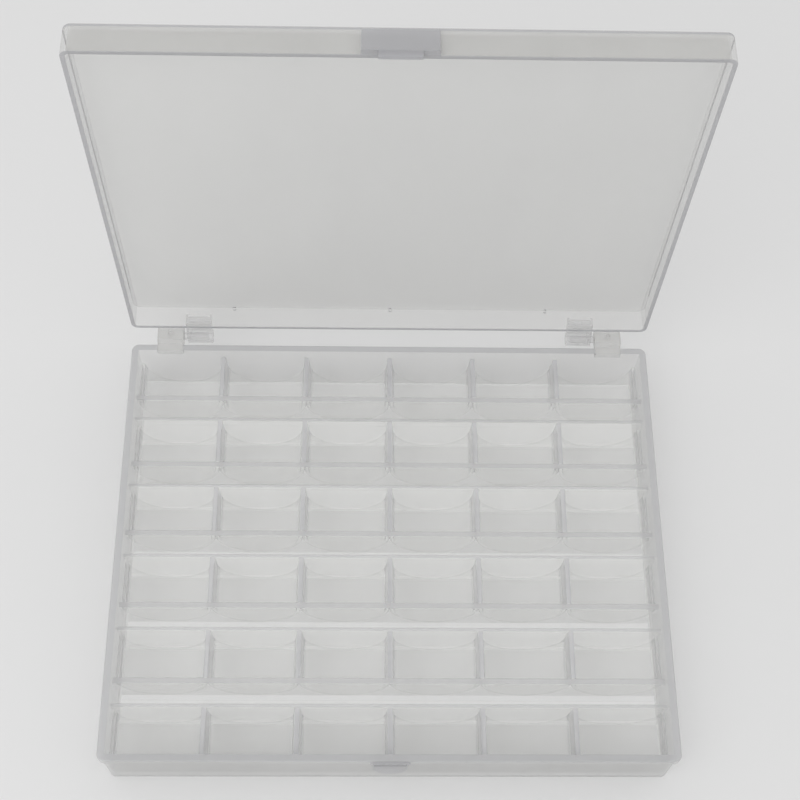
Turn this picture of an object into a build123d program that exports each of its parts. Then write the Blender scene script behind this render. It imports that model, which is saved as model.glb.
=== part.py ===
from build123d import *
from math import sqrt
import os

# Bobbin storage box with a hinged lid, in millimetres.
# X runs left to right, Y from the latch side to the hinge side, Z up from the underside.
# The lid is built closed and then turned up about the hinge axis.

# Outside sizes
BOX_W = 145.0
BOX_D = 117.4
BASE_H = 19.6
LID_H = 8.0
RIM_GAP = 0.1
CORNER_R = 2.0

# Base wall and the flange round its rim
WALL_T = 1.1
FLANGE_OUT = 0.8
FLANGE_H = 2.2
RIM_ROUND = 0.4
FOOT_ROUND = 0.6
WALL_W = BOX_W - 2 * FLANGE_OUT
WALL_D = BOX_D - 2 * FLANGE_OUT
INNER_W = WALL_W - 2 * WALL_T
INNER_D = WALL_D - 2 * WALL_T
WALL_CORNER_R = CORNER_R - FLANGE_OUT

# Pockets, six rows of six
ROWS = 6
COLUMNS = 6
POCKET_DROP = 3.5
POCKET_DEPTH = 13.75
FRONT_WALL_T = 1.6
REAR_WALL_T = 1.0
ROW_WALL_ROUND = 0.25
POCKET_TOP = BASE_H - POCKET_DROP
COLUMN_PITCH = INNER_W / COLUMNS
WALL_MID_Y = (INNER_D + WALL_T) / 2
ROW_PITCH = (2 * WALL_MID_Y - POCKET_DEPTH) / (ROWS - 1)

# Round-bottomed cradle that a bobbin stands in
CRADLE_R = 10.85
CRADLE_T = 1.0
CRADLE_MID_Z = 12.0
DIVIDER_TOP_T = 1.2
CHANNEL_FLOOR_T = 1.0

# Hinge, with one lug and one knuckle on each side
HINGE_Y = 61.8
HINGE_Z = 19.0
LUG_IN_X = 58.2
LUG_W = 7.2
LUG_R = 1.85
LUG_RAMP = (0.2, 0.9)
LUG_NOSE_OUT = 0.6
LUG_DIMPLE_R = 0.75
LUG_DIMPLE_DEPTH = 1.0
PIN_R = 1.0
PIN_L = 7.2
PIN_CHAMFER = 0.3
PIN_CLEARANCE = 0.06
BARREL_IN_X = 50.0
BARREL_L = 7.0
BARREL_WINDOW_L = 1.1
BARREL_WINDOW_CUT = 0.9
CLIP_SLOT = 1.4
ARM_IN_X = 50.35
ARM_W = 7.25
ARM_HEIGHTS = (1.4, 3.9)
ARM_ROOT = (-2.65, 3.75)
ARM_CREST = (-1.8, 3.45)
ARM_BOW = (0.6, 2.6)
ARM_T = 0.9
ARM_INNER_BOW = (-0.2, 1.85)
ARM_CLEAR_R = 1.35
GUSSET_T = 0.6
GUSSET_H = 4.5
GUSSET_BOW = (-2.2, 4.0)
GUSSET_END = (-0.9, 3.0)
GUSSET_FOOT = 2.6

# Lid
LID_T = 1.2
LID_TOP_ROUND = 0.9
LID_RIM_ROUND = 0.25
LID_INNER_CORNER_R = 0.8
GATE_MARK_X = 44.0
GATE_MARK_R = 0.5
GATE_MARK_DEPTH = 0.5
GATE_MARK_DROP = 0.8
LID_OPEN_DEG = 90.0
LID_RIM_Z = BASE_H + RIM_GAP
LID_TOP_Z = LID_RIM_Z + LID_H
LID_CEILING_Z = LID_TOP_Z - LID_T

# Latch on the lid's front wall, and the catch that it snaps over
LATCH_W = 17.0
LATCH_H = 5.9
LATCH_T = 1.6
LATCH_ROUND = 0.4
TONGUE_W = 9.6
TONGUE_T = 1.0
TONGUE_L = 1.7
HOOK_H = 0.55
HOOK_IN = 0.35
CATCH_W = 10.0
CATCH_OUT = 0.5
CATCH_TOP_Z = BASE_H - 0.15
CATCH_NOSE_Z = BASE_H - 0.55
CATCH_LOW_Z = BASE_H - 0.9
THUMB_W = 8.6
THUMB_L = 8.3
THUMB_OUT = 1.4
THUMB_ROUND = 0.5

FRONT_Y = -BOX_D / 2
BACK_Y = BOX_D / 2

# How far a cut runs past what it cuts, and how near an edge must lie to be picked
PAST = 1.0
NEAR = 0.01

os.makedirs("parts", exist_ok=True)


def save(node, shape):
    """Save one sub-part under its node's name."""
    export_step(shape, f"parts/{node}.step")


def block(x, y, z):
    """Box between pairs of coordinates, each given as (low, high)."""
    size = [high - low for low, high in (x, y, z)]
    middle = [(high + low) / 2 for low, high in (x, y, z)]
    return Pos(*middle) * Box(*size)


def slab(width, depth, radius, low, high):
    """Upright plate centred on the box, with rounded corners."""
    return Pos(0, 0, low) * extrude(RectangleRounded(width, depth, radius), high - low)


def along_x(outline, start, length):
    """Extrude a Y-Z outline along X from start."""
    return Pos(start, 0, 0) * extrude(make_face(Plane.YZ * outline), length, dir=(1, 0, 0))


def along_y(outline, start, length):
    """Extrude an X-Z outline along +Y from start."""
    return Pos(0, start, 0) * extrude(make_face(Plane.XZ * outline), length, dir=(0, 1, 0))


def x_rod(radius, start, length):
    """Round bar along the hinge axis."""
    rod = Rot(Y=90) * Cylinder(radius, length)
    return Pos(start + length / 2, HINGE_Y, HINGE_Z) * rod


def edges_at(shape, axis, place):
    """Edges that lie in the plane at place, square to the axis."""
    return shape.edges().filter_by_position(axis, place - NEAR, place + NEAR)


def column_x(column):
    """Middle of a column of pockets."""
    return (column - (COLUMNS - 1) / 2) * COLUMN_PITCH


def rear_wall_y(row):
    """Middle of the wall behind a row, counted from the hinge side."""
    return WALL_MID_Y - row * ROW_PITCH


def front_wall_y(row):
    """Middle of the wall in front of a row."""
    return rear_wall_y(row) - POCKET_DEPTH


def pocket_span(row):
    """Free depth of a row's pockets as (front, back)."""
    front = -INNER_D / 2 if row == ROWS - 1 else front_wall_y(row) + FRONT_WALL_T / 2
    back = INNER_D / 2 if row == 0 else rear_wall_y(row) - REAR_WALL_T / 2
    return front, back


def lug_seat(side):
    """Room in the rim for the foot of a hinge lug."""
    ends = sorted((side * LUG_IN_X, side * (LUG_IN_X + LUG_W)))
    return block(ends, (INNER_D / 2 - PAST, BACK_Y + PAST), (BASE_H - FLANGE_H, BASE_H + PAST))


def base_outer_wall():
    """Wall round the tray, with the flange that the lid's rim meets."""
    skirt = slab(WALL_W, WALL_D, WALL_CORNER_R, 0, BASE_H)
    skirt = fillet(edges_at(skirt, Axis.Z, 0), FOOT_ROUND)
    flange = slab(BOX_W, BOX_D, CORNER_R, BASE_H - FLANGE_H, BASE_H)
    flange = fillet(edges_at(flange, Axis.Z, BASE_H), RIM_ROUND)
    half_w = INNER_W / 2
    half_d = INNER_D / 2
    inside = block((-half_w, half_w), (-half_d, half_d), (-PAST, BASE_H + PAST))
    return skirt + flange - inside - lug_seat(-1) - lug_seat(1)


def cradle():
    """One round-bottomed pocket floor, seen from the front, centred on x = 0."""
    outer_r = CRADLE_R + CRADLE_T
    half = COLUMN_PITCH / 2
    meet_z = CRADLE_MID_Z - sqrt(outer_r**2 - half**2)
    mid_z = CRADLE_MID_Z
    inside = ThreePointArc((-CRADLE_R, mid_z), (0, mid_z - CRADLE_R), (CRADLE_R, mid_z))
    outside = ThreePointArc((half, meet_z), (0, mid_z - outer_r), (-half, meet_z))
    right = Polyline((CRADLE_R, mid_z), (half, mid_z), (half, meet_z))
    left = Polyline((-half, meet_z), (-half, mid_z), (-CRADLE_R, mid_z))
    return inside + right + outside + left


def divider():
    """Tapered wall between two pockets, seen from the front, centred on x = 0."""
    foot = COLUMN_PITCH / 2 - CRADLE_R
    top = DIVIDER_TOP_T / 2
    left = ((-top, POCKET_TOP), (-foot, CRADLE_MID_Z))
    right = ((foot, CRADLE_MID_Z), (top, POCKET_TOP))
    return Polyline(*left, *right, close=True)


def cradle_row(row):
    """The six pocket floors of a row."""
    front, back = pocket_span(row)
    floor = along_y(cradle(), front, back - front)
    return Compound([Pos(column_x(c), 0, 0) * floor for c in range(COLUMNS)])


def cell_dividers(row):
    """The five dividers of a row."""
    front, back = pocket_span(row)
    wall = along_y(divider(), front, back - front)
    between = COLUMN_PITCH / 2
    return Compound([Pos(column_x(c) + between, 0, 0) * wall for c in range(COLUMNS - 1)])


def row_wall(middle_y, thickness):
    """Straight wall from side to side, rounded along its top edge."""
    faces_y = (middle_y - thickness / 2, middle_y + thickness / 2)
    wall = block((-INNER_W / 2, INNER_W / 2), faces_y, (0, POCKET_TOP))
    return fillet(edges_at(wall, Axis.Z, POCKET_TOP).filter_by(Axis.X), ROW_WALL_ROUND)


def channel_floor(row):
    """Flat strip between a row's front wall and the next row's rear wall."""
    back = front_wall_y(row) - FRONT_WALL_T / 2
    front = rear_wall_y(row + 1) + REAR_WALL_T / 2
    return block((-INNER_W / 2, INNER_W / 2), (front, back), (0, CHANNEL_FLOOR_T))


def hinge_lug():
    """Right-hand lug behind the rim, with a foot level with the rim."""
    top_z = HINGE_Z + LUG_R
    foot_z = BASE_H - FLANGE_H
    nose_y = HINGE_Y + LUG_NOSE_OUT
    under = (nose_y, HINGE_Z - LUG_R)
    foot = ((BACK_Y, foot_z), (INNER_D / 2, foot_z), (INNER_D / 2, BASE_H))
    ramp = ((BACK_Y + LUG_RAMP[0], BASE_H), (BACK_Y + LUG_RAMP[1], top_z))
    crest = Polyline(under, *foot, *ramp, (nose_y, top_z))
    nose = ThreePointArc((nose_y, top_z), (nose_y + LUG_R, HINGE_Z), under)
    lug = along_x(crest + nose, LUG_IN_X, LUG_W)
    dimple = Pos(LUG_IN_X + LUG_W / 2, HINGE_Y, top_z) * Cylinder(LUG_DIMPLE_R, 2 * LUG_DIMPLE_DEPTH)
    return lug - dimple


def hinge_pin():
    """Right-hand pin stub, pointing inwards from its lug."""
    tip_x = LUG_IN_X - PIN_L
    pin = x_rod(PIN_R, tip_x, PIN_L)
    return chamfer(pin.edges().sort_by(Axis.X)[0], PIN_CHAMFER)


def from_hinge(point):
    """Y and Z of a point given from the hinge axis."""
    return HINGE_Y + point[0], HINGE_Z + point[1]


def knuckle_arm():
    """Curved plate from the lid's back wall to the rear of the barrel, seen from the side."""
    low, high = ((BACK_Y, LID_RIM_Z + height) for height in ARM_HEIGHTS)
    crest = from_hinge(ARM_CREST)
    rear = from_hinge((LUG_R, 0))
    inner_rear = from_hinge((LUG_R - ARM_T, 0))
    root = ThreePointArc(high, from_hinge(ARM_ROOT), crest)
    outer = ThreePointArc(crest, from_hinge(ARM_BOW), rear)
    inner = ThreePointArc(inner_rear, from_hinge(ARM_INNER_BOW), low)
    return root + outer + Line(rear, inner_rear) + inner + Line(low, high)


def knuckle_gusset():
    """Web that stiffens an end of the arm, seen from the side."""
    tip = (BACK_Y, LID_RIM_Z + GUSSET_H)
    end = from_hinge(GUSSET_END)
    foot_z = HINGE_Z + GUSSET_FOOT
    foot = Polyline(end, (end[0], foot_z), (BACK_Y, foot_z), tip)
    return ThreePointArc(tip, from_hinge(GUSSET_BOW), end) + foot


def hinge_knuckle():
    """Right-hand knuckle of the closed lid: a split barrel and an arm with two gussets."""
    barrel_end = BARREL_IN_X + BARREL_L
    arm_end = ARM_IN_X + ARM_W
    knuckle = along_x(knuckle_arm(), ARM_IN_X, ARM_W)
    knuckle += along_x(knuckle_gusset(), ARM_IN_X, GUSSET_T)
    knuckle += along_x(knuckle_gusset(), arm_end - GUSSET_T, GUSSET_T)
    knuckle -= x_rod(ARM_CLEAR_R, barrel_end, ARM_W)
    knuckle += x_rod(LUG_R, BARREL_IN_X, BARREL_L)
    knuckle -= x_rod(PIN_R + PIN_CLEARANCE, BARREL_IN_X - PAST, ARM_W + 2 * PAST)
    lengthwise = (BARREL_IN_X - PAST, barrel_end + PAST)
    across = (HINGE_Y - CLIP_SLOT / 2, HINGE_Y + CLIP_SLOT / 2)
    slot = block(lengthwise, across, (HINGE_Z - 2 * LUG_R, HINGE_Z))
    window = block((barrel_end - BARREL_WINDOW_L, barrel_end),
                   (HINGE_Y - LUG_R, HINGE_Y - BARREL_WINDOW_CUT), (HINGE_Z - LUG_R, HINGE_Z + LUG_R))
    return knuckle - slot - window


def latch_catch():
    """Wedge on the front of the flange that the tongue's hook snaps over."""
    nose_y = FRONT_Y - CATCH_OUT
    outline = Polyline((FRONT_Y, CATCH_TOP_Z), (nose_y, CATCH_NOSE_Z), (nose_y, CATCH_LOW_Z),
                       (FRONT_Y, CATCH_LOW_Z), close=True)
    return along_x(outline, -CATCH_W / 2, CATCH_W)


def thumb_ledge():
    """Half-moon ledge under the flange, where a thumb holds the base."""
    half = THUMB_W / 2
    top_z = BASE_H - FLANGE_H
    turn_z = top_z - THUMB_L + half
    sides = Polyline((-half, turn_z), (-half, top_z), (half, top_z), (half, turn_z))
    bottom = ThreePointArc((half, turn_z), (0, top_z - THUMB_L), (-half, turn_z))
    front = -WALL_D / 2 - THUMB_OUT
    ledge = along_y(sides + bottom, front, THUMB_OUT)
    rounded = edges_at(ledge, Axis.Y, front).filter_by_position(Axis.Z, 0, top_z - NEAR)
    return fillet(rounded, THUMB_ROUND)


def lid_panel():
    """Flat top of the lid."""
    panel = slab(BOX_W, BOX_D, CORNER_R, LID_CEILING_Z, LID_TOP_Z)
    return fillet(edges_at(panel, Axis.Z, LID_TOP_Z), LID_TOP_ROUND)


def gate_mark(x):
    """Small round mark on the inner face of the lid's back wall."""
    mark = Rot(X=90) * Cylinder(GATE_MARK_R, 2 * GATE_MARK_DEPTH)
    return Pos(x, BACK_Y - LID_T, LID_CEILING_Z - GATE_MARK_DROP) * mark


def lid_side_wall():
    """Wall round the lid, with gate marks inside its back."""
    wall = slab(BOX_W, BOX_D, CORNER_R, LID_RIM_Z, LID_CEILING_Z)
    wall -= slab(BOX_W - 2 * LID_T, BOX_D - 2 * LID_T, LID_INNER_CORNER_R, LID_RIM_Z, LID_CEILING_Z)
    wall = fillet(edges_at(wall, Axis.Z, LID_RIM_Z), LID_RIM_ROUND)
    for x in (-GATE_MARK_X, 0, GATE_MARK_X):
        wall -= gate_mark(x)
    return wall


def latch_plate():
    """Thick plate on the lid's front wall that carries the tongue."""
    heights = (LID_RIM_Z, LID_RIM_Z + LATCH_H)
    plate = block((-LATCH_W / 2, LATCH_W / 2), (FRONT_Y - LATCH_T, FRONT_Y), heights)
    outer = edges_at(plate, Axis.Y, FRONT_Y - LATCH_T)
    return fillet(outer.filter_by_position(Axis.Z, LID_RIM_Z + NEAR, LID_TOP_Z), LATCH_ROUND)


def latch_tongue():
    """Tongue below the plate, with a hook along its lower edge."""
    outer = FRONT_Y - LATCH_T
    inner = outer + TONGUE_T
    low = LID_RIM_Z - TONGUE_L
    tip = inner + HOOK_IN
    back = ((outer, LID_RIM_Z), (outer, low), (inner, low))
    hook = ((tip, low + HOOK_H / 2), (tip, low + HOOK_H), (inner, low + HOOK_H), (inner, LID_RIM_Z))
    outline = Polyline(*back, *hook, close=True)
    return along_x(outline, -TONGUE_W / 2, TONGUE_W)


def mirrored(shape):
    """Left-hand twin of a right-hand piece."""
    return mirror(shape, about=Plane.YZ)


def opened(shape):
    """Turn a piece of the closed lid up about the hinge axis."""
    return Pos(0, HINGE_Y, HINGE_Z) * Rot(X=-LID_OPEN_DEG) * Pos(0, -HINGE_Y, -HINGE_Z) * shape


def write_base():
    """Write the tray's nodes."""
    save("base_outer_wall", base_outer_wall())
    for row in range(ROWS):
        save(f"cradle_row_{row + 1}", cradle_row(row))
        save(f"cell_dividers_row_{row + 1}", cell_dividers(row))
    for row in range(ROWS - 1):
        save(f"pocket_front_wall_{row + 1}", row_wall(front_wall_y(row), FRONT_WALL_T))
        save(f"pocket_rear_wall_{row + 2}", row_wall(rear_wall_y(row + 1), REAR_WALL_T))
        save(f"channel_floor_{row + 1}", channel_floor(row))
    save("hinge_lug_right", hinge_lug())
    save("hinge_lug_left", mirrored(hinge_lug()))
    save("hinge_pin_right", hinge_pin())
    save("hinge_pin_left", mirrored(hinge_pin()))
    save("latch_catch", latch_catch())
    save("thumb_ledge", thumb_ledge())


def write_lid():
    """Write the lid's nodes, turned up to the open position."""
    save("lid_panel", opened(lid_panel()))
    save("lid_side_wall", opened(lid_side_wall()))
    save("hinge_knuckle_right", opened(hinge_knuckle()))
    save("hinge_knuckle_left", opened(mirrored(hinge_knuckle())))
    save("latch_plate", opened(latch_plate()))
    save("latch_tongue", opened(latch_tongue()))


write_base()
write_lid()
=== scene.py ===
"""Frosted plastic, floor, light and camera for the bobbin storage box."""

from math import radians
from typing import NamedTuple

import bmesh
import bpy
from bpy.props import FloatProperty, FloatVectorProperty, PointerProperty
from mathutils import Matrix, Vector

bl_info = {
    "name": "Bobbin storage box",
    "version": (1, 0, 0),
    "blender": (4, 5, 0),
    "location": "3D View > Sidebar > Bobbin Box",
    "description": "Finishes the frosted bobbin storage box and lights it in a pale studio",
    "category": "Object",
}

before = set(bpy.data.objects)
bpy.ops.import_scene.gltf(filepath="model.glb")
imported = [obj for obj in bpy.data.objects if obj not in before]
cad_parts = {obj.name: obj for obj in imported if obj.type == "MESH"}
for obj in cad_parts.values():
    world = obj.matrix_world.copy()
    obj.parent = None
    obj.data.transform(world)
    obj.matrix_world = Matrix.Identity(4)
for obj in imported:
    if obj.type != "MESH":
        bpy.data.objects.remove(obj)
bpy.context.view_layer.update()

LUG_NODES = ("hinge_lug_left", "hinge_lug_right")
KNUCKLE_NODES = ("hinge_pin_left", "hinge_pin_right", "hinge_knuckle_left", "hinge_knuckle_right")
LATCH_NODES = ("latch_plate", "latch_tongue")
CATCH_NODES = ("latch_catch", "thumb_ledge")

# Directions in the frame, with the lid open
UP = (0, 0, 1)
SIDEWAYS = (1, 0, 0)
DEEP = (0, 1, 0)
TO_FRONT = (0, -1, 0)
NOWHERE = (0, 0, 0)

# Cosines of a face's turn from its axis at which a mask starts and is full: flat, steep or rounded faces
FLAT_START = 0.97
FLAT_FULL = 0.99
STEEP_START = 0.93
ROUND_START = 0.3
ROUND_FULL = 0.95

# Levels in metres beyond which the faces lie, measured from the origin towards their side
NO_LEVEL = -1.0
ROW_TOP_LEVEL = 0.0148
TRAY_RIM_LEVEL = 0.0176
TRAY_FRONT_LEVEL = 0.05
LID_RIM_LEVEL = -0.0691
LID_FRONT_LEVEL = 0.1
PANEL_LEVEL = 0.03


class Faces(NamedTuple):
    """Faces that look along an axis, or across it if flip is 1, and lie beyond a level on one side."""

    axis: tuple = NOWHERE
    side: tuple = NOWHERE
    level: float = NO_LEVEL
    start: float = FLAT_START
    full: float = FLAT_FULL
    flip: float = 0.0


# ROW_TOPS, TRAY_RIM, LID_RIM, PANEL_RIM and STEEP_SIDES pick the faces that take the edge tone, a painted
# shade for the light that the plastic pipes away from its edges
ROW_TOPS = Faces(UP, UP, ROW_TOP_LEVEL, ROUND_START, ROUND_FULL)
TRAY_RIM = Faces(UP, UP, TRAY_RIM_LEVEL, ROUND_START, ROUND_FULL)
TRAY_FRONT = Faces(DEEP, TO_FRONT, TRAY_FRONT_LEVEL, ROUND_START, ROUND_FULL)
LID_RIM = Faces(TO_FRONT, TO_FRONT, LID_RIM_LEVEL, ROUND_START, ROUND_FULL)
# The lid's front wall, whose denser haze is painted shade
LID_FRONT = Faces(UP, UP, LID_FRONT_LEVEL)
PANEL_RIM = Faces(DEEP, UP, PANEL_LEVEL, ROUND_START, ROUND_FULL, flip=1.0)
STEEP_SIDES = Faces(SIDEWAYS, start=STEEP_START)
ACROSS_ENDS = Faces(SIDEWAYS)
DEEP_ENDS = Faces(DEEP)

# Layers of the haze, each one covering those before it
LAYERS = ("Band", "Seam", "Edge")


class Finish(NamedTuple):
    """Look of one kind of piece: its tones, the painted shade of its edges and slants, and the haze of
    its faces, bands, seams and edges.

    A seam whose haze stays 0 isn't seen, because the moulding runs on through it.
    """

    tone: tuple
    haze: float
    slant_haze: float
    # How far a face turns to the edge colour at a slant: painted shade
    slant_tone: float
    # Colour that edges and slanted faces turn to: painted shade
    edge_tone: tuple
    edge: Faces = Faces()
    edge_haze: float = 0.0
    seam: Faces = Faces()
    seam_haze: float = 0.0
    band: Faces = Faces()
    band_haze: float = 0.0


# How much denser some pieces look at a slant, and how far they turn to the edge tone there: painted shade
LID_SLANT_HAZE = 1.2
LID_SLANT_SHADE = 0.4
LUG_SLANT_HAZE = 0.8
LUG_SLANT_SHADE = 0.2
DIVIDER_SLANT_SHADE = 1.0
SLANT_POWER = 3.0

# Polypropylene's own surface
REFRACTION = 1.49
SPECULAR_LEVEL = 0.6
CLEARER_PATCH = 0.05
DULLER_PATCH = 0.06
SCUFF_ROUGHNESS = 0.12
SKIN_STRENGTH = 0.6

# Noise of the clouds and of the skin
CLOUD_DETAIL = 3.0
CLOUD_RANGE = (0.3, 0.7)
FLOW_DETAIL = 2.0
FLOW_STRETCH = (1.0, 0.22, 0.22)
FLOW_FINENESS = 4.0
GRAIN_DETAIL = 2.0
SCUFF_DETAIL = 4.0
SCUFF_TURN = (0.3, 0.5, 0.9)
SCUFF_STRETCH = (1.0, 0.07, 0.3)
SCUFF_RANGE = (0.66, 0.72)

# Studio
WHITE = (1, 1, 1)
FLOOR_EDGES = 96
FLOOR_ROUGHNESS = 0.9
FLOOR_SPECULAR = 0.1
KEY_PLACE = (-0.35, -0.45, 0.85)
KEY_AIM = (0, 0, 0.03)
KEY_SIZE = 0.7
SENSOR_MM = 36
NEAREST_SEEN = 0.01
SEE_THROUGH_FACES = 64

# Heights in the node editor of a row of the depth group and of a half of it
MASK_ROW = 400
HALF_ROW = 200


class FrostedPlasticLook(bpy.types.PropertyGroup):
    """Colours and surface of the moulded polypropylene, with painted shade in the edge, rim and slant
    tones and painted light in the tray's tone.
    """

    # Painted light: the tray's tone is lighter than the lid's, standing in for the light that the plastic
    # passes on beneath its hazy layers
    tray_tone: FloatVectorProperty(
        name="Tray tone", description="Colour of the row walls and pocket floors", subtype="COLOR",
        size=3, min=0, max=1, default=(0.87, 0.875, 0.845))
    wall_tone: FloatVectorProperty(
        name="Outer wall tone", description="Colour of the tray's outer wall", subtype="COLOR",
        size=3, min=0, max=1, default=(0.60, 0.60, 0.59))
    lid_tone: FloatVectorProperty(
        name="Lid tone", description="Colour of the lid", subtype="COLOR",
        size=3, min=0, max=1, default=(0.56, 0.557, 0.54))
    knuckle_tone: FloatVectorProperty(
        name="Knuckle tone", description="Colour of the hinge pins and knuckles",
        subtype="COLOR", size=3, min=0, max=1, default=(0.68, 0.68, 0.68))
    # Own colour of the latch, catch and ledge; also the dividers' edge tone, painted shade on their tops
    # and at a slant
    thick_tone: FloatVectorProperty(
        name="Tone of thick pieces", description="Colour of the latch, the catch and the thumb ledge",
        subtype="COLOR", size=3, min=0, max=1, default=(0.51, 0.51, 0.53))
    # Painted shade: a wall's edge seen end on is darkened to stand in for the light that the plastic
    # pipes away
    edge_tone: FloatVectorProperty(
        name="Edge tone", description="Colour of a tray wall's edge, where the plastic is seen end on",
        subtype="COLOR", size=3, min=0, max=1, default=(0.49, 0.49, 0.497))
    # Painted shade: the tray's rim is darkened as a whole
    rim_tone: FloatVectorProperty(
        name="Rim tone", description="Colour of the tray's rim", subtype="COLOR",
        size=3, min=0, max=1, default=(0.45, 0.45, 0.46))
    # Painted shade along the edges of the lid's wall and panel
    lid_edge_tone: FloatVectorProperty(
        name="Lid's edge tone", description="Colour of the edges of the lid's wall and panel",
        subtype="COLOR", size=3, min=0, max=1, default=(0.38, 0.38, 0.395))
    cloudiness: FloatProperty(
        name="Cloudiness", description="How far the tone drifts from patch to patch", subtype="FACTOR",
        min=0, max=0.3, default=0.05)
    pocket_haze: FloatProperty(
        name="Haze of the pockets",
        description="Share of the light that one face of a pocket floor stops",
        subtype="FACTOR", min=0, max=1, default=0.07)
    row_haze: FloatProperty(
        name="Haze of front walls", description="Share that one face of a wall in front of a row stops",
        subtype="FACTOR", min=0, max=1, default=0.04)
    rear_haze: FloatProperty(
        name="Haze of rear walls", description="Share that one face of a wall behind a row stops",
        subtype="FACTOR", min=0, max=1, default=0.12)
    wall_haze: FloatProperty(
        name="Haze of outer walls",
        description="Share that one face of the tray's or the lid's wall stops",
        subtype="FACTOR", min=0, max=1, default=0.12)
    front_haze: FloatProperty(
        name="Haze of the tray's front",
        description="Share that one face of the tray's front wall stops",
        subtype="FACTOR", min=0, max=1, default=0.33)
    steep_haze: FloatProperty(
        name="Haze of dividers", description="Share that dividers and the steep pocket sides stop",
        subtype="FACTOR", min=0, max=1, default=0.2)
    lid_haze: FloatProperty(
        name="Haze of the lid", description="Share of the light that one face of the lid stops",
        subtype="FACTOR", min=0, max=1, default=0.23)
    # Painted shade: a denser haze darkens the lid's front wall, standing in for the shaded backdrop seen
    # through it
    lid_front_haze: FloatProperty(
        name="Haze of the lid's front", description="Share that one face of the lid's front wall stops",
        subtype="FACTOR", min=0, max=1, default=0.44)
    knuckle_haze: FloatProperty(
        name="Haze of the knuckles", description="Share of the light that one face of a knuckle stops",
        subtype="FACTOR", min=0, max=1, default=0.3)
    lug_haze: FloatProperty(
        name="Haze of the lugs", description="Share of the light that one face of a hinge lug stops",
        subtype="FACTOR", min=0, max=1, default=0.38)
    latch_haze: FloatProperty(
        name="Haze of the latch", description="Share of the light that one latch face stops",
        subtype="FACTOR", min=0, max=1, default=0.55)
    edge_haze: FloatProperty(
        name="Haze of edges", description="Share of the light that the edge of a tray wall stops",
        subtype="FACTOR", min=0, max=1, default=0.5)
    rim_haze: FloatProperty(
        name="Haze of rims",
        description="Share of the light that the tray's rim and the lid's edges stop",
        subtype="FACTOR", min=0, max=1, default=0.72)
    seam_haze: FloatProperty(
        name="Haze of seams", description="Share that a pocket floor stops where it meets a wall",
        subtype="FACTOR", min=0, max=1, default=0.1)
    slant_haze: FloatProperty(
        name="Haze at a slant", description="How much denser a wall looks when seen at a slant",
        min=0, default=2.5)
    # Painted shade: walls seen at a slant turn towards the edge tone
    slant_tone: FloatProperty(
        name="Edge tone at a slant",
        description="How far a wall takes the edge tone when seen at a slant",
        min=0, max=2, default=0.6)
    roughness: FloatProperty(
        name="Frosting", description="Roughness of the spark-eroded skin", subtype="FACTOR",
        min=0, max=1, default=0.34)
    grain_depth: FloatProperty(
        name="Skin depth", description="Depth of the fine moulded skin", unit="LENGTH",
        min=0, max=0.001, default=0.00002)
    cloud_size: FloatProperty(
        name="Cloud size", description="Width of the soft cloudy patches", unit="LENGTH",
        min=0.001, max=0.2, default=0.035)


class StudioLook(bpy.types.PropertyGroup):
    """Floor, light and camera."""

    floor_color: FloatVectorProperty(
        name="Floor colour", description="Colour of the pale floor", subtype="COLOR",
        size=3, min=0, max=1, default=(0.74, 0.74, 0.74))
    floor_radius: FloatProperty(
        name="Floor radius", description="Radius of the round floor", unit="LENGTH",
        min=0.3, default=1.6)
    sky: FloatProperty(
        name="Sky level", description="Strength of the even light from all round",
        min=0, default=0.84)
    key_power: FloatProperty(
        name="Key lamp", description="Power of the large soft lamp in front", unit="POWER",
        min=0, default=2.5)
    lens: FloatProperty(
        name="Lens", description="Focal length for a 36 mm sensor", subtype="DISTANCE_CAMERA",
        min=10, default=67.16)
    camera_place: FloatVectorProperty(
        name="Camera place", description="Where the camera stands", subtype="TRANSLATION",
        unit="LENGTH", size=3, default=(-0.00744, -0.14694, 0.38804))
    camera_pitch: FloatProperty(
        name="Camera pitch", description="How far the camera looks below the level", subtype="ANGLE",
        default=radians(62.859))
    camera_yaw: FloatProperty(
        name="Camera yaw", description="Turn of the camera to its right", subtype="ANGLE",
        default=radians(3.102))
    camera_roll: FloatProperty(
        name="Camera roll", description="Turn of the picture", subtype="ANGLE",
        default=radians(-3.191))


def add_node(tree, kind, place, **settings):
    """New shader node at a place in the tree, with its own settings."""
    node = tree.nodes.new(kind)
    node.location = place
    for name, value in settings.items():
        setattr(node, name, value)
    return node


def new_group(name, inputs, outputs):
    """Empty shader group: inputs as (name, type, value), outputs as (name, type)."""
    group = bpy.data.node_groups.new(name, "ShaderNodeTree")
    for label, kind, value in inputs:
        socket = group.interface.new_socket(label, in_out="INPUT", socket_type=kind)
        if value is not None:
            socket.default_value = value
    for label, kind in outputs:
        group.interface.new_socket(label, in_out="OUTPUT", socket_type=kind)
    given = add_node(group, "NodeGroupInput", (-900, 0))
    result = add_node(group, "NodeGroupOutput", (700, 0))
    return group, given, result


def shared_group(name, maker):
    """The group of that name, built the first time it is asked for."""
    return bpy.data.node_groups.get(name) or maker(name)


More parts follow.
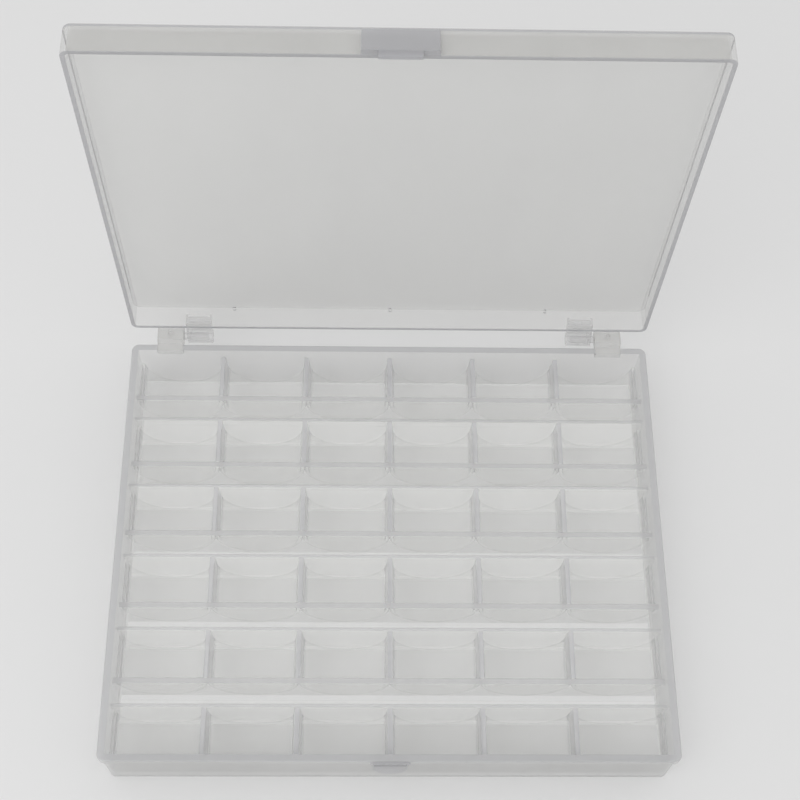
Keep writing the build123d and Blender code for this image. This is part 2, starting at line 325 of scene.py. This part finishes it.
def cloud_group(name):
    """Soft cloudy patches and faint flow lines of moulded polypropylene."""
    inputs = (("Vector", "NodeSocketVector", None), ("Patches per metre", "NodeSocketFloat", 30.0),
              ("Flow", "NodeSocketFloat", 0.3))
    group, given, result = new_group(name, inputs, (("Cloud", "NodeSocketFloat"),))
    patches = add_node(group, "ShaderNodeTexNoise", (-600, 200))
    patches.inputs["Detail"].default_value = CLOUD_DETAIL
    stretch = add_node(group, "ShaderNodeVectorMath", (-600, -120), operation="MULTIPLY")
    stretch.inputs[1].default_value = FLOW_STRETCH
    lines = add_node(group, "ShaderNodeTexNoise", (-380, -120))
    lines.inputs["Detail"].default_value = FLOW_DETAIL
    finer = add_node(group, "ShaderNodeMath", (-600, -320), operation="MULTIPLY")
    finer.inputs[1].default_value = FLOW_FINENESS
    blend = add_node(group, "ShaderNodeMix", (-100, 60), data_type="FLOAT")
    spread = add_node(group, "ShaderNodeMapRange", (200, 60))
    spread.inputs["From Min"].default_value = CLOUD_RANGE[0]
    spread.inputs["From Max"].default_value = CLOUD_RANGE[1]
    link = group.links.new
    link(given.outputs["Vector"], patches.inputs["Vector"])
    link(given.outputs["Patches per metre"], patches.inputs["Scale"])
    link(given.outputs["Vector"], stretch.inputs[0])
    link(stretch.outputs[0], lines.inputs["Vector"])
    link(given.outputs["Patches per metre"], finer.inputs[0])
    link(finer.outputs[0], lines.inputs["Scale"])
    link(given.outputs["Flow"], blend.inputs["Factor"])
    link(patches.outputs["Fac"], blend.inputs["A"])
    link(lines.outputs["Fac"], blend.inputs["B"])
    link(blend.outputs["Result"], spread.inputs["Value"])
    link(spread.outputs["Result"], result.inputs["Cloud"])
    return group


def skin_group(name):
    """Fine spark-eroded skin with a few hair-thin scuffs."""
    inputs = (("Vector", "NodeSocketVector", None), ("Grains per metre", "NodeSocketFloat", 2600.0),
              ("Scuffs per metre", "NodeSocketFloat", 90.0))
    outputs = (("Height", "NodeSocketFloat"), ("Scuffs", "NodeSocketFloat"))
    group, given, result = new_group(name, inputs, outputs)
    grains = add_node(group, "ShaderNodeTexNoise", (-600, 200))
    grains.inputs["Detail"].default_value = GRAIN_DETAIL
    turn = add_node(group, "ShaderNodeMapping", (-700, -200))
    turn.inputs["Rotation"].default_value = SCUFF_TURN
    turn.inputs["Scale"].default_value = SCUFF_STRETCH
    scratch = add_node(group, "ShaderNodeTexNoise", (-480, -200))
    scratch.inputs["Detail"].default_value = SCUFF_DETAIL
    thin = add_node(group, "ShaderNodeMapRange", (-200, -200))
    thin.inputs["From Min"].default_value = SCUFF_RANGE[0]
    thin.inputs["From Max"].default_value = SCUFF_RANGE[1]
    link = group.links.new
    link(given.outputs["Vector"], grains.inputs["Vector"])
    link(given.outputs["Grains per metre"], grains.inputs["Scale"])
    link(given.outputs["Vector"], turn.inputs["Vector"])
    link(turn.outputs["Vector"], scratch.inputs["Vector"])
    link(given.outputs["Scuffs per metre"], scratch.inputs["Scale"])
    link(scratch.outputs["Fac"], thin.inputs["Value"])
    link(grains.outputs["Fac"], result.inputs["Height"])
    link(thin.outputs["Result"], result.inputs["Scuffs"])
    return group


def faces_mask(group, given, label, row):
    """Mask of the faces that a set of the group's inputs picks out."""
    top = -MASK_ROW * row
    low = top - HALF_ROW
    along = add_node(group, "ShaderNodeVectorMath", (-840, top), operation="DOT_PRODUCT")
    either = add_node(group, "ShaderNodeMath", (-660, top), operation="ABSOLUTE")
    flipped = add_node(group, "ShaderNodeMath", (-480, top), operation="SUBTRACT")
    size = add_node(group, "ShaderNodeMath", (-300, top), operation="ABSOLUTE")
    mask = add_node(group, "ShaderNodeMapRange", (-120, top), interpolation_type="SMOOTHSTEP")
    height = add_node(group, "ShaderNodeVectorMath", (-840, low), operation="DOT_PRODUCT")
    above = add_node(group, "ShaderNodeMath", (-660, low), operation="GREATER_THAN")
    kept = add_node(group, "ShaderNodeMath", (60, top), operation="MULTIPLY")
    link = group.links.new
    link(given.outputs["Normal"], along.inputs[0])
    link(given.outputs[label + " axis"], along.inputs[1])
    link(along.outputs["Value"], either.inputs[0])
    link(given.outputs[label + " flip"], flipped.inputs[0])
    link(either.outputs[0], flipped.inputs[1])
    link(flipped.outputs[0], size.inputs[0])
    link(size.outputs[0], mask.inputs["Value"])
    link(given.outputs[label + " start"], mask.inputs["From Min"])
    link(given.outputs[label + " full"], mask.inputs["From Max"])
    link(given.outputs["Position"], height.inputs[0])
    link(given.outputs[label + " side"], height.inputs[1])
    link(height.outputs["Value"], above.inputs[0])
    link(given.outputs[label + " level"], above.inputs[1])
    link(mask.outputs["Result"], kept.inputs[0])
    link(above.outputs[0], kept.inputs[1])
    return kept.outputs[0]


def depth_group(name):
    """How much plastic lies behind a face: its flat face, a denser band, a seam or its edge."""
    inputs = [("Position", "NodeSocketVector", None), ("Normal", "NodeSocketVector", None),
              ("Face haze", "NodeSocketFloat", 0.2)]
    for label in LAYERS:
        inputs += [(f"{label} {part}", "NodeSocketVector", None) for part in ("axis", "side")]
        inputs += [(f"{label} {part}", "NodeSocketFloat", 0.0)
                   for part in ("level", "start", "full", "flip", "haze")]
    outputs = (("Haze", "NodeSocketFloat"), ("Edge mask", "NodeSocketFloat"))
    group, given, result = new_group(name, inputs, outputs)
    link = group.links.new
    haze = given.outputs["Face haze"]
    for row, label in enumerate(LAYERS):
        mask = faces_mask(group, given, label, row)
        mixed = add_node(group, "ShaderNodeMix", (300, -MASK_ROW * row), data_type="FLOAT")
        link(mask, mixed.inputs["Factor"])
        link(haze, mixed.inputs["A"])
        link(given.outputs[label + " haze"], mixed.inputs["B"])
        haze = mixed.outputs["Result"]
    # The last layer's mask is the edge's; it also places the edge tone's painted shade
    link(haze, result.inputs["Haze"])
    link(mask, result.inputs["Edge mask"])
    return group


def add_slant(tree):
    """Cube of how far a face is seen at a slant, from 0 face on to 1 edge on."""
    slant = add_node(tree, "ShaderNodeLayerWeight", (-900, -560))
    cube = add_node(tree, "ShaderNodeMath", (-720, -560), operation="POWER")
    cube.inputs[1].default_value = SLANT_POWER
    tree.links.new(slant.outputs["Facing"], cube.inputs[0])
    return cube.outputs[0]


def add_alpha(tree, haze, slant, gain):
    """Alpha that grows at a slant: 1 - (1 - haze) ** (1 + gain * slant)."""
    times = add_node(tree, "ShaderNodeMath", (-540, -560), operation="MULTIPLY_ADD")
    times.inputs[1].default_value = gain
    times.inputs[2].default_value = 1.0
    passed = add_node(tree, "ShaderNodeMath", (-540, -400), operation="SUBTRACT")
    passed.inputs[0].default_value = 1.0
    through = add_node(tree, "ShaderNodeMath", (-360, -480), operation="POWER")
    stopped = add_node(tree, "ShaderNodeMath", (-180, -480), operation="SUBTRACT")
    stopped.inputs[0].default_value = 1.0
    link = tree.links.new
    link(slant, times.inputs[0])
    link(haze, passed.inputs[1])
    link(passed.outputs[0], through.inputs[0])
    link(times.outputs[0], through.inputs[1])
    link(through.outputs[0], stopped.inputs[1])
    return stopped.outputs[0]


def socket_color(tone, level=1.0):
    """A tone, lighter or darker, as the four values that a colour socket takes."""
    return (*[v * level for v in tone], 1)


def add_tone(tree, look, finish, cloud, edge_shade_mask, slant):
    """Base colour that drifts with the clouds and turns to the edge tone, a painted shade, at edges and
    slants.
    """
    drift = add_node(tree, "ShaderNodeMix", (-560, 220), data_type="RGBA")
    drift.inputs["A"].default_value = socket_color(finish.tone, 1 + look.cloudiness)
    drift.inputs["B"].default_value = socket_color(finish.tone, 1 - look.cloudiness)
    share = add_node(tree, "ShaderNodeMath", (-560, 420), operation="MULTIPLY_ADD", use_clamp=True)
    share.inputs[1].default_value = finish.slant_tone
    edged = add_node(tree, "ShaderNodeMix", (-340, 220), data_type="RGBA")
    edged.inputs["B"].default_value = socket_color(finish.edge_tone)
    link = tree.links.new
    link(cloud, drift.inputs["Factor"])
    link(slant, share.inputs[0])
    link(edge_shade_mask, share.inputs[2])
    link(share.outputs[0], edged.inputs["Factor"])
    link(drift.outputs["Result"], edged.inputs["A"])
    return edged.outputs["Result"]


def add_depth(tree, finish):
    """Haze of each face, by what lies behind it."""
    depth = add_node(tree, "ShaderNodeGroup", (-860, -340))
    depth.node_tree = shared_group("Depth of plastic", depth_group)
    depth.inputs["Face haze"].default_value = finish.haze
    hazes = (finish.band_haze, finish.seam_haze, finish.edge_haze)
    for label, faces, haze in zip(LAYERS, (finish.band, finish.seam, finish.edge), hazes):
        for part, value in faces._asdict().items():
            depth.inputs[f"{label} {part}"].default_value = value
        depth.inputs[label + " haze"].default_value = haze
    return depth


def frosted_plastic(name, look, finish):
    """Frosted polypropylene of one finish."""
    material = bpy.data.materials.new(name)
    material.use_nodes = True
    tree = material.node_tree
    shader = tree.nodes["Principled BSDF"]
    shader.inputs["IOR"].default_value = REFRACTION
    shader.inputs["Specular IOR Level"].default_value = SPECULAR_LEVEL
    where = add_node(tree, "ShaderNodeTexCoord", (-1100, 0))
    clouds = add_node(tree, "ShaderNodeGroup", (-860, 160))
    clouds.node_tree = shared_group("Moulding clouds", cloud_group)
    clouds.inputs["Patches per metre"].default_value = 1 / look.cloud_size
    skin = add_node(tree, "ShaderNodeGroup", (-860, -120))
    skin.node_tree = shared_group("Moulded skin", skin_group)
    depth = add_depth(tree, finish)
    frosting = add_node(tree, "ShaderNodeMapRange", (-560, -40))
    frosting.inputs["To Min"].default_value = look.roughness - CLEARER_PATCH
    frosting.inputs["To Max"].default_value = look.roughness + DULLER_PATCH
    scuffed = add_node(tree, "ShaderNodeMath", (-340, -40), operation="MULTIPLY_ADD")
    scuffed.inputs[1].default_value = SCUFF_ROUGHNESS
    bump = add_node(tree, "ShaderNodeBump", (-340, -240))
    bump.inputs["Distance"].default_value = look.grain_depth
    bump.inputs["Strength"].default_value = SKIN_STRENGTH
    slant = add_slant(tree)
    color = add_tone(tree, look, finish, clouds.outputs["Cloud"], depth.outputs["Edge mask"], slant)
    alpha = add_alpha(tree, depth.outputs["Haze"], slant, finish.slant_haze)
    link = tree.links.new
    link(where.outputs["Object"], clouds.inputs["Vector"])
    link(where.outputs["Object"], skin.inputs["Vector"])
    link(where.outputs["Object"], depth.inputs["Position"])
    link(where.outputs["Normal"], depth.inputs["Normal"])
    link(color, shader.inputs["Base Color"])
    link(clouds.outputs["Cloud"], frosting.inputs["Value"])
    link(skin.outputs["Scuffs"], scuffed.inputs[0])
    link(frosting.outputs["Result"], scuffed.inputs[2])
    link(scuffed.outputs[0], shader.inputs["Roughness"])
    link(skin.outputs["Height"], bump.inputs["Height"])
    link(bump.outputs["Normal"], shader.inputs["Normal"])
    link(alpha, shader.inputs["Alpha"])
    return material


def dress(nodes, name, look, finish):
    """Give CAD nodes a frosted plastic of their own and the name of the slot that it fills."""
    material = frosted_plastic(name, look, finish)
    for node in nodes:
        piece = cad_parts[node]
        piece.data.materials.clear()
        piece.data.materials.append(material)


def tray_nodes(start):
    """Names of the tray's nodes that start with these words."""
    return [name for name in sorted(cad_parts) if name.startswith(start)]


class BOBBINBOX_OT_tray_walls(bpy.types.Operator):
    """Finish the tray's outer wall and the walls in front of and behind each row"""

    bl_idname = "bobbinbox.dress_tray_walls"
    bl_label = "Finish the tray's walls"

    def execute(self, context):
        look = context.scene.bobbin_plastic
        fronts = Finish(look.tray_tone, look.row_haze, look.slant_haze, look.slant_tone, look.edge_tone,
                        edge=ROW_TOPS, edge_haze=look.edge_haze, seam=ACROSS_ENDS)
        dress(tray_nodes("pocket_front"), "Front wall plastic", look, fronts)
        rears = fronts._replace(haze=look.rear_haze)
        dress(tray_nodes("pocket_rear"), "Rear wall plastic", look, rears)
        wall = Finish(look.wall_tone, look.wall_haze, look.slant_haze, look.slant_tone, look.rim_tone,
                      edge=TRAY_RIM, edge_haze=look.rim_haze,
                      band=TRAY_FRONT, band_haze=look.front_haze)
        dress(["base_outer_wall"], "Outer wall plastic", look, wall)
        return {"FINISHED"}


class BOBBINBOX_OT_pockets(bpy.types.Operator):
    """Finish the pocket floors, the dividers and the channel floors"""

    bl_idname = "bobbinbox.dress_pockets"
    bl_label = "Finish the pockets"

    def execute(self, context):
        look = context.scene.bobbin_plastic
        floors = Finish(look.tray_tone, look.pocket_haze, look.slant_haze, look.slant_tone,
                        look.edge_tone, edge=STEEP_SIDES, edge_haze=look.steep_haze,
                        seam=DEEP_ENDS, seam_haze=look.seam_haze)
        dress(tray_nodes("cradle_row"), "Pocket floor plastic", look, floors)
        # The dividers turn to the thick pieces' tone at their tops and at a slant: painted shade
        dividers = Finish(look.wall_tone, look.steep_haze, look.slant_haze, DIVIDER_SLANT_SHADE,
                          look.thick_tone, edge=ROW_TOPS, edge_haze=look.edge_haze, seam=DEEP_ENDS)
        dress(tray_nodes("cell_dividers"), "Divider plastic", look, dividers)
        channels = Finish(look.tray_tone, look.row_haze, look.slant_haze, look.slant_tone,
                          look.edge_tone, seam=DEEP_ENDS)
        dress(tray_nodes("channel_floor"), "Channel floor plastic", look, channels)
        return {"FINISHED"}


class BOBBINBOX_OT_lid(bpy.types.Operator):
    """Finish the lid's panel and side wall"""

    bl_idname = "bobbinbox.dress_lid"
    bl_label = "Finish the lid"

    def execute(self, context):
        look = context.scene.bobbin_plastic
        panel = Finish(look.lid_tone, look.lid_haze, LID_SLANT_HAZE, LID_SLANT_SHADE, look.lid_edge_tone,
                       edge=PANEL_RIM, edge_haze=look.rim_haze)
        dress(["lid_panel"], "Lid panel plastic", look, panel)
        # The lid's front wall takes a denser band of haze: painted shade
        wall = Finish(look.lid_tone, look.wall_haze, look.slant_haze, LID_SLANT_SHADE, look.lid_edge_tone,
                      edge=LID_RIM, edge_haze=look.rim_haze, seam=DEEP_ENDS,
                      band=LID_FRONT, band_haze=look.lid_front_haze)
        dress(["lid_side_wall"], "Lid wall plastic", look, wall)
        return {"FINISHED"}


class BOBBINBOX_OT_hinges(bpy.types.Operator):
    """Finish the hinge lugs, pins and knuckles"""

    bl_idname = "bobbinbox.dress_hinges"
    bl_label = "Finish the hinges"

    def execute(self, context):
        look = context.scene.bobbin_plastic
        lugs = Finish(look.lid_tone, look.lug_haze, LUG_SLANT_HAZE, LUG_SLANT_SHADE, look.edge_tone,
                      seam=DEEP_ENDS)
        dress(LUG_NODES, "Hinge lug plastic", look, lugs)
        knuckles = Finish(look.knuckle_tone, look.knuckle_haze, look.slant_haze, look.slant_tone,
                          look.edge_tone)
        dress(KNUCKLE_NODES, "Hinge knuckle plastic", look, knuckles)
        return {"FINISHED"}


class BOBBINBOX_OT_latch(bpy.types.Operator):
    """Finish the latch plate, its tongue, the catch and the thumb ledge"""

    bl_idname = "bobbinbox.dress_latch"
    bl_label = "Finish the latch"

    def execute(self, context):
        look = context.scene.bobbin_plastic
        latch = Finish(look.thick_tone, look.latch_haze, look.slant_haze, look.slant_tone, look.edge_tone)
        dress(LATCH_NODES, "Latch plastic", look, latch)
        catch = latch._replace(haze=look.front_haze)
        dress(CATCH_NODES, "Catch plastic", look, catch)
        return {"FINISHED"}


def floor_material(color):
    """Plain matt floor."""
    material = bpy.data.materials.new("Pale floor")
    material.use_nodes = True
    shader = material.node_tree.nodes["Principled BSDF"]
    shader.inputs["Base Color"].default_value = socket_color(color)
    shader.inputs["Roughness"].default_value = FLOOR_ROUGHNESS
    shader.inputs["Specular IOR Level"].default_value = FLOOR_SPECULAR
    return material


def add_floor(studio):
    """Round floor under the box."""
    mesh = bpy.data.meshes.new("studio_floor")
    form = bmesh.new()
    bmesh.ops.create_circle(form, cap_ends=True, radius=studio.floor_radius, segments=FLOOR_EDGES)
    form.to_mesh(mesh)
    form.free()
    mesh.materials.append(floor_material(studio.floor_color))
    floor = bpy.data.objects.new("studio_floor", mesh)
    bpy.context.scene.collection.objects.link(floor)


def add_sky(studio):
    """Even pale light from all round."""
    world = bpy.data.worlds.new("Studio sky")
    world.use_nodes = True
    background = world.node_tree.nodes["Background"]
    background.inputs["Color"].default_value = socket_color(WHITE)
    background.inputs["Strength"].default_value = studio.sky
    bpy.context.scene.world = world


def add_lamp(name, place, aim, size, power):
    """Square soft lamp at a place, turned towards a point."""
    data = bpy.data.lights.new(name, "AREA")
    data.size = size
    data.energy = power
    lamp = bpy.data.objects.new(name, data)
    lamp.location = place
    lamp.rotation_euler = (Vector(aim) - Vector(place)).to_track_quat("-Z", "Y").to_euler()
    bpy.context.scene.collection.objects.link(lamp)


def add_camera(studio):
    """Camera at the photograph's place, pitch, yaw and roll."""
    data = bpy.data.cameras.new("Studio camera")
    data.sensor_width = SENSOR_MM
    data.lens = studio.lens
    data.clip_start = NEAREST_SEEN
    camera = bpy.data.objects.new("Studio camera", data)
    turn = Matrix.Rotation(-studio.camera_yaw, 4, "Z")
    tilt = Matrix.Rotation(radians(90) - studio.camera_pitch, 4, "X")
    roll = Matrix.Rotation(-studio.camera_roll, 4, "Z")
    camera.matrix_world = Matrix.Translation(studio.camera_place) @ turn @ tilt @ roll
    bpy.context.scene.collection.objects.link(camera)
    bpy.context.scene.camera = camera


class BOBBINBOX_OT_stage(bpy.types.Operator):
    """Set the floor, the light and the camera"""

    bl_idname = "bobbinbox.set_stage"
    bl_label = "Set the stage"

    def execute(self, context):
        studio = context.scene.bobbin_studio
        context.scene.view_settings.view_transform = "Standard"
        context.scene.cycles.transparent_max_bounces = SEE_THROUGH_FACES
        add_floor(studio)
        add_sky(studio)
        add_lamp("Key lamp", KEY_PLACE, KEY_AIM, KEY_SIZE, studio.key_power)
        add_camera(studio)
        return {"FINISHED"}


STEPS = (BOBBINBOX_OT_tray_walls, BOBBINBOX_OT_pockets, BOBBINBOX_OT_lid, BOBBINBOX_OT_hinges,
         BOBBINBOX_OT_latch, BOBBINBOX_OT_stage)


class BOBBINBOX_PT_panel(bpy.types.Panel):
    """Lists the steps and the values a user may change"""

    bl_idname = "BOBBINBOX_PT_panel"
    bl_label = "Bobbin Box"
    bl_space_type = "VIEW_3D"
    bl_region_type = "UI"
    bl_category = "Bobbin Box"

    def draw(self, context):
        for step in STEPS:
            self.layout.operator(step.bl_idname)
        for group in (context.scene.bobbin_plastic, context.scene.bobbin_studio):
            for name in group.bl_rna.properties.keys():
                if name not in ("rna_type", "name"):
                    self.layout.prop(group, name)


CLASSES = (FrostedPlasticLook, StudioLook, *STEPS, BOBBINBOX_PT_panel)


def register():
    """Add the classes and the values of this script to Blender."""
    for each in CLASSES:
        bpy.utils.register_class(each)
    bpy.types.Scene.bobbin_plastic = PointerProperty(type=FrostedPlasticLook)
    bpy.types.Scene.bobbin_studio = PointerProperty(type=StudioLook)


def unregister():
    """Take them away again."""
    del bpy.types.Scene.bobbin_studio
    del bpy.types.Scene.bobbin_plastic
    for each in reversed(CLASSES):
        bpy.utils.unregister_class(each)


def main():
    """Finish the box piece by piece and set its stage."""
    register()
    bpy.ops.bobbinbox.dress_tray_walls()
    bpy.ops.bobbinbox.dress_pockets()
    bpy.ops.bobbinbox.dress_lid()
    bpy.ops.bobbinbox.dress_hinges()
    bpy.ops.bobbinbox.dress_latch()
    bpy.ops.bobbinbox.set_stage()


if __name__ == "__main__":
    main()
